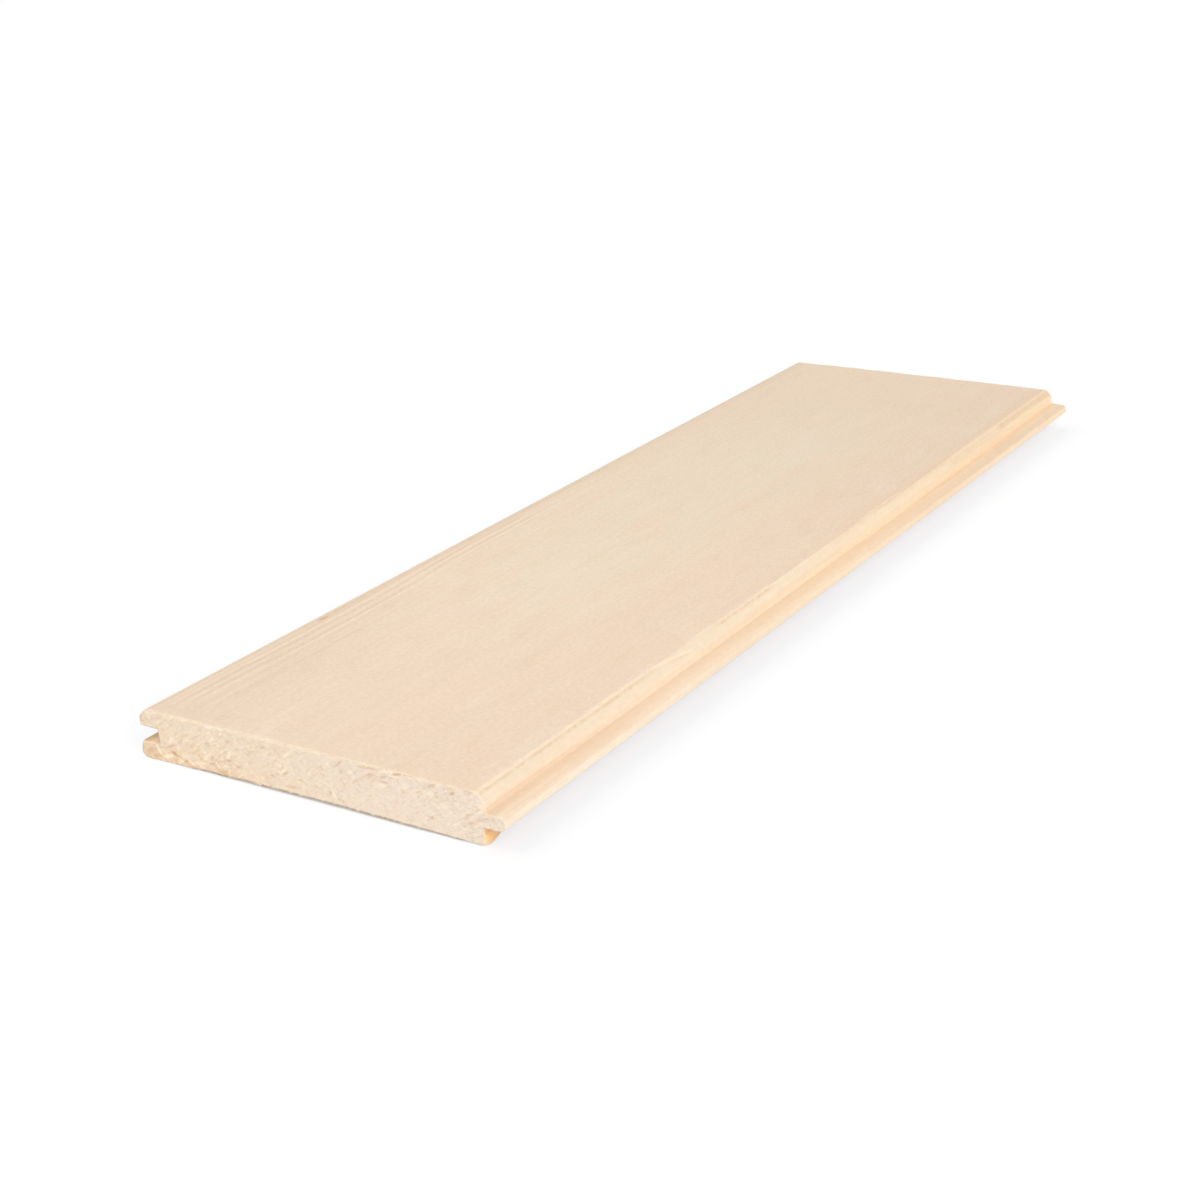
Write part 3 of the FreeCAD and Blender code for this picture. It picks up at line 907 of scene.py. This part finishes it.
def make_fibres(name, side, count, span, seed, curl, box):
    """Fibres torn up along the face's arris of one sawn end, half sunk in it and inside the part's box."""
    random = np.random.default_rng(seed)
    half = box[1][1] / MM
    places, faces = [], []
    for _ in range(count):
        x = random.uniform(*span)
        low = random.uniform() < 0.3
        z = random.uniform(13.9, 14.4) if low else random.uniform(14.45, 14.86)
        depth = random.uniform(0.1, 0.3) if low else random.uniform(0.12, 0.45)
        length = random.uniform(0.8, 3.4)
        radius = random.uniform(0.04, 0.1)
        rise, bend = random.uniform(-0.12, 0.12), random.uniform(-0.15, 0.15)
        line = []
        for k in range(FIBRE_STEPS):
            t = k / (FIBRE_STEPS - 1) - 0.5
            at_x = np.clip(x + t * length, span[0] - 0.5, span[1] + 0.5)
            at_z = min(z + rise * t * length + bend * (0.25 - t * t), THICKNESS - 0.05 - radius)
            at_y = half - max(depth + bend * t, radius + 0.03)
            line.append(np.array([at_x, side * at_y, cupped(at_x, at_z)]))
        add_fibre(line, radius, places, faces)
    if curl:
        line = [np.array([x, side * (half - 0.16), cupped(x, z)]) for x, z in curl]
        add_fibre(line, 0.15, places, faces)
    mesh = bpy.data.meshes.new(name)
    mesh.from_pydata(np.array(places) * MM, [], faces)
    mesh.polygons.foreach_set("use_smooth", np.ones(len(faces), bool))
    mesh.update()
    fibres = bpy.data.objects.new(name, mesh)
    bpy.context.scene.collection.objects.link(fibres)
    return fibres


WORLD_LEVEL = 0.5
# Direction that each lamp's light comes from, its level on a surface that faces it, and its spread in degrees
LAMPS = {
    "key": ((0.6, -0.45, 0.47), 0.5, 50.0),
    "top": ((-0.65, -0.12, 0.75), 0.32, 65.0),
}
FLOOR_HALF = 5.0
FLOOR_SHADE = (0.61, 0.4, 0.29)
FLOOR_LIFT = (0.4, 0.61, 0.72)
# Painted shadow: what is seen of the floor in the hollow under the board is dimmed to a dark colour, and how far from
# its middle that fades out
GAP_SHADE = (0.35, 0.38, 0.42)
GAP_SHADOW_LIFT = (0.41, 0.36, 0.31)
GAP_REACH = ((0.044, 0.05), (0.1991, 0.2))


def white_where_seen(tree, plain):
    """1 for rays from the camera, mirrors or glass, to mix a plain look with a white one."""
    path = tree.nodes.new("ShaderNodeLightPath")
    either = tree.nodes.new("ShaderNodeMath")
    either.operation = "MAXIMUM"
    tree.links.new(path.outputs["Is Camera Ray"], either.inputs[0])
    tree.links.new(path.outputs["Is Glossy Ray"], either.inputs[1])
    both = tree.nodes.new("ShaderNodeMath")
    both.operation = "MAXIMUM"
    tree.links.new(either.outputs[0], both.inputs[0])
    tree.links.new(path.outputs["Is Transmission Ray"], both.inputs[1])
    return both.outputs[0]


def under_board(tree):
    """1 on the floor under the board's hollow back, where the shadow is painted, 0 elsewhere."""
    place = tree.nodes.new("ShaderNodeTexCoord")
    axes = tree.nodes.new("ShaderNodeSeparateXYZ")
    tree.links.new(place.outputs["Object"], axes.inputs[0])
    both = tree.nodes.new("ShaderNodeMath")
    both.operation = "MULTIPLY"
    for n, (name, (inner, outer)) in enumerate(zip("XY", GAP_REACH)):
        size = tree.nodes.new("ShaderNodeMath")
        size.operation = "ABSOLUTE"
        tree.links.new(axes.outputs[name], size.inputs[0])
        fall = tree.nodes.new("ShaderNodeMapRange")
        fall.interpolation_type = "SMOOTHSTEP"
        for key, value in (("From Min", inner), ("From Max", outer), ("To Min", 1.0), ("To Max", 0.0)):
            fall.inputs[key].default_value = value
        tree.links.new(size.outputs[0], fall.inputs["Value"])
        tree.links.new(fall.outputs["Result"], both.inputs[n])
    return both.outputs[0]


def either_colour(tree, fac, a, b, socket):
    """Give a socket the colour a where fac is 0 and b where it is 1."""
    mix = tree.nodes.new("ShaderNodeMix")
    mix.data_type = "RGBA"
    tree.links.new(fac, mix.inputs["Factor"])
    mix.inputs[6].default_value = (*a, 1)
    mix.inputs[7].default_value = (*b, 1)
    tree.links.new(mix.outputs[2], socket)


def make_floor():
    """White floor. Seen directly it is lifted to white, and keeps part of the board's shadow; under the board's hollow
    back a shadow is painted.
    """
    mesh = bpy.data.meshes.new("floor")
    s = FLOOR_HALF
    mesh.from_pydata([(-s, -s, 0), (s, -s, 0), (s, s, 0), (-s, s, 0)], [], [(0, 1, 2, 3)])
    floor = bpy.data.objects.new("floor", mesh)
    bpy.context.scene.collection.objects.link(floor)
    material = bpy.data.materials.new("white_floor")
    material.use_nodes = True
    tree = material.node_tree
    tree.nodes.remove(tree.nodes["Principled BSDF"])
    paper = tree.nodes.new("ShaderNodeBsdfDiffuse")
    paper.inputs["Color"].default_value = (0.9, 0.9, 0.9, 1)
    # Painted shadow under the board's hollow back
    hidden = under_board(tree)
    dim = tree.nodes.new("ShaderNodeBsdfDiffuse")
    either_colour(tree, hidden, FLOOR_SHADE, GAP_SHADE, dim.inputs["Color"])
    glow = tree.nodes.new("ShaderNodeEmission")
    either_colour(tree, hidden, FLOOR_LIFT, GAP_SHADOW_LIFT, glow.inputs["Color"])
    lifted = tree.nodes.new("ShaderNodeAddShader")
    tree.links.new(dim.outputs[0], lifted.inputs[0])
    tree.links.new(glow.outputs[0], lifted.inputs[1])
    mix = tree.nodes.new("ShaderNodeMixShader")
    tree.links.new(white_where_seen(tree, paper), mix.inputs[0])
    tree.links.new(paper.outputs[0], mix.inputs[1])
    tree.links.new(lifted.outputs[0], mix.inputs[2])
    tree.links.new(mix.outputs[0], tree.nodes["Material Output"].inputs["Surface"])
    mesh.materials.append(material)


def make_world():
    """Even white light from all round, and white behind everything."""
    world = bpy.data.worlds.new("studio")
    world.use_nodes = True
    tree = world.node_tree
    light = tree.nodes["Background"]
    light.inputs["Color"].default_value = (1, 1, 1, 1)
    light.inputs["Strength"].default_value = WORLD_LEVEL
    white = tree.nodes.new("ShaderNodeBackground")
    white.inputs["Color"].default_value = (1, 1, 1, 1)
    white.inputs["Strength"].default_value = 1.0
    mix = tree.nodes.new("ShaderNodeMixShader")
    tree.links.new(white_where_seen(tree, light), mix.inputs[0])
    tree.links.new(light.outputs[0], mix.inputs[1])
    tree.links.new(white.outputs[0], mix.inputs[2])
    tree.links.new(mix.outputs[0], tree.nodes["World Output"].inputs["Surface"])
    bpy.context.scene.world = world


def make_lamps():
    """Two wide soft lamps: one in front to the tongue side, one above to the groove side."""
    for name, (source, level, spread) in LAMPS.items():
        lamp = bpy.data.lights.new(name, "SUN")
        lamp.energy = level * math.pi
        lamp.angle = math.radians(spread)
        holder = bpy.data.objects.new(name, lamp)
        holder.rotation_euler = Vector(source).to_track_quat("Z", "Y").to_euler()
        bpy.context.scene.collection.objects.link(holder)


def make_camera():
    """The camera that the photograph was taken with, as far as its edges tell."""
    azimuth, down, roll = (math.radians(a) for a in (CAMERA_AZIMUTH, CAMERA_DOWN, CAMERA_ROLL))
    ahead = Vector((-math.sin(azimuth) * math.cos(down), math.cos(azimuth) * math.cos(down), -math.sin(down)))
    right = ahead.cross(Vector((0, 0, 1))).normalized()
    below = ahead.cross(right)
    c, s = math.cos(roll), math.sin(roll)
    right, below = c * right + s * below, c * below - s * right
    data = bpy.data.cameras.new("camera")
    data.sensor_width = SENSOR
    data.lens = FOCAL_PIXELS * SENSOR / IMAGE_PIXELS
    data.clip_start, data.clip_end = 0.01, 50.0
    camera = bpy.data.objects.new("camera", data)
    camera.matrix_world = Matrix.Translation(Vector(CAMERA_AT) * MM) @ Matrix(
        (
            (right.x, -below.x, -ahead.x, 0),
            (right.y, -below.y, -ahead.y, 0),
            (right.z, -below.z, -ahead.z, 0),
            (0, 0, 0, 1),
        )
    )
    bpy.context.scene.collection.objects.link(camera)
    bpy.context.scene.camera = camera


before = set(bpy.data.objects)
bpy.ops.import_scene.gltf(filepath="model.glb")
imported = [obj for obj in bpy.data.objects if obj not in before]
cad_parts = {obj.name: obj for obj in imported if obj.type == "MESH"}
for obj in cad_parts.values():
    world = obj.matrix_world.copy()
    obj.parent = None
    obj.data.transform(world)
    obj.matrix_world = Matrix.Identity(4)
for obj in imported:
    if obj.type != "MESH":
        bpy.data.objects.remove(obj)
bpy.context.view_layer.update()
make_camera()
make_world()
make_lamps()
make_floor()

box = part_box(NODE)
board = make_board(box)
for material in (face_wood(), side_wood(), inside_wood(), back_wood(), end_wood()):
    board.data.materials.append(material)
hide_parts(NODE)
near_fibres = make_fibres("near_saw_fibres", -1, 120, (-56.5, 51.5), 5, NICK, box)
far_fibres = make_fibres("far_saw_fibres", 1, 90, (-56.5, 51.5), 6, (), box)
torn = fibre_wood()
for fibres in (near_fibres, far_fibres):
    fibres.data.materials.append(torn)
for piece in (board, near_fibres, far_fibres):
    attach(piece, BODY)

bpy.context.scene.view_settings.view_transform = "Standard"
